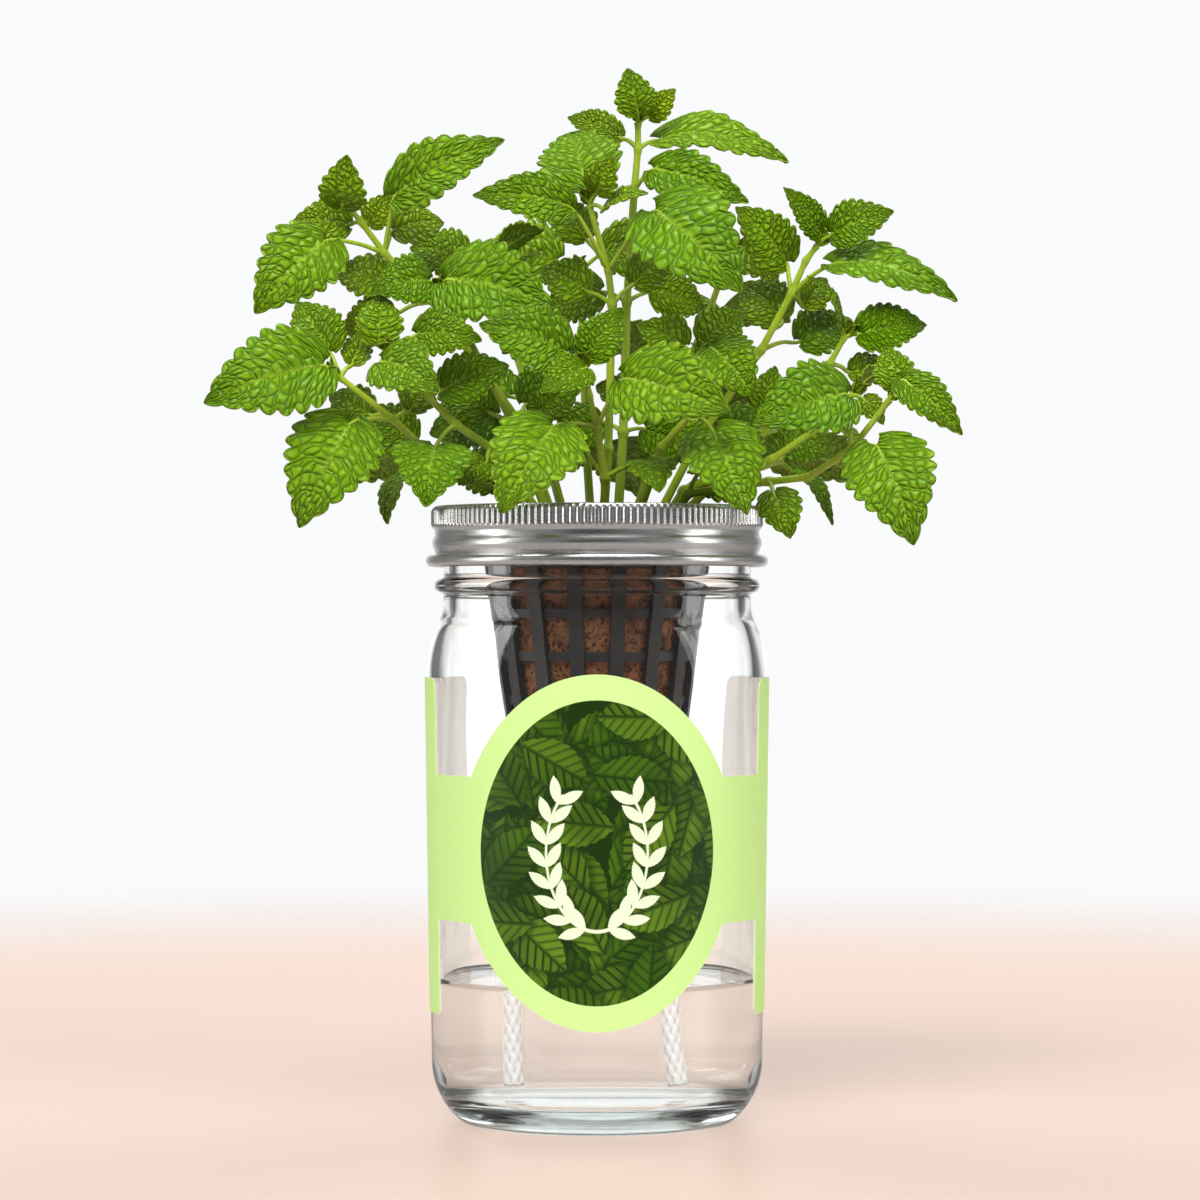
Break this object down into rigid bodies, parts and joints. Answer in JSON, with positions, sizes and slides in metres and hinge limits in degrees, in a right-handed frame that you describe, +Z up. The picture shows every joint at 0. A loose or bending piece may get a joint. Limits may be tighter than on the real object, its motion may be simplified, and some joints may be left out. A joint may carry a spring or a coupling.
{
  "type": "hydroponic jar planter",
  "caption": "Glass preserving jar of water with a screw band clamping a net pot of coir, wicks and a leafy herb.",
  "frame": {"origin": "centre of the jar's bearing ring, on the surface that it stands on", "axes": "+Z up along the jar's axis, -Y towards the front of the label, +X to the viewer's right"},
  "size_m": [0.1961, 0.1081, 0.28],
  "materials": {
    "clear_glass": "clear",
    "water": "clear water",
    "brushed_band": "satin",
    "black_plastic": "matte",
    "coir": "pressed fibre",
    "label_paper": "printed",
    "cotton_wick": "braided",
    "stem_green": "plant stem",
    "leaf_green": "leaf"
  },
  "bodies": {
    "jar": {"glass_jar": "clear_glass", "label": "label_paper", "water": "water"},
    "pot": {"net_pot": "black_plastic", "coir_plug": "coir", "wick_left": "cotton_wick", "wick_right": "cotton_wick", "stem_back": "stem_green", "stem_back_left": "stem_green", "stem_back_right": "stem_green", "stem_crown": "stem_green", "stem_far_right": "stem_green", "stem_front": "stem_green", "stem_front_right": "stem_green", "stem_left": "stem_green", "stem_low_back_left": "stem_green", "stem_low_back_right": "stem_green", "stem_low_left": "stem_green", "stem_low_right": "stem_green", "stem_mid_left": "stem_green", "stem_right": "stem_green", "stem_top": "stem_green", "stem_upper_left": "stem_green", "stem_upper_right": "stem_green", "leaves_back": "leaf_green", "leaves_back_left": "leaf_green", "leaves_back_right": "leaf_green", "leaves_crown": "leaf_green", "leaves_far_right": "leaf_green", "leaves_front": "leaf_green", "leaves_front_right": "leaf_green", "leaves_left": "leaf_green", "leaves_low_back_left": "leaf_green", "leaves_low_back_right": "leaf_green", "leaves_low_left": "leaf_green", "leaves_low_right": "leaf_green", "leaves_mid_left": "leaf_green", "leaves_right": "leaf_green", "leaves_top": "leaf_green", "leaves_upper_left": "leaf_green", "leaves_upper_right": "leaf_green"},
    "band": {"screw_band": "brushed_band"}
  },
  "joints": [
    {"name": "lift_out", "type": "slide", "parent": "jar", "child": "pot", "axis": [0, 0, 1], "range_m": [0, 0.16], "deforming": ["water"]},
    {"name": "band_turn", "type": "hinge", "parent": "pot", "child": "band", "pos_m": [0, 0, 0.155], "axis": [0, 0, 1], "range_deg": [0, 450]}
  ]
}
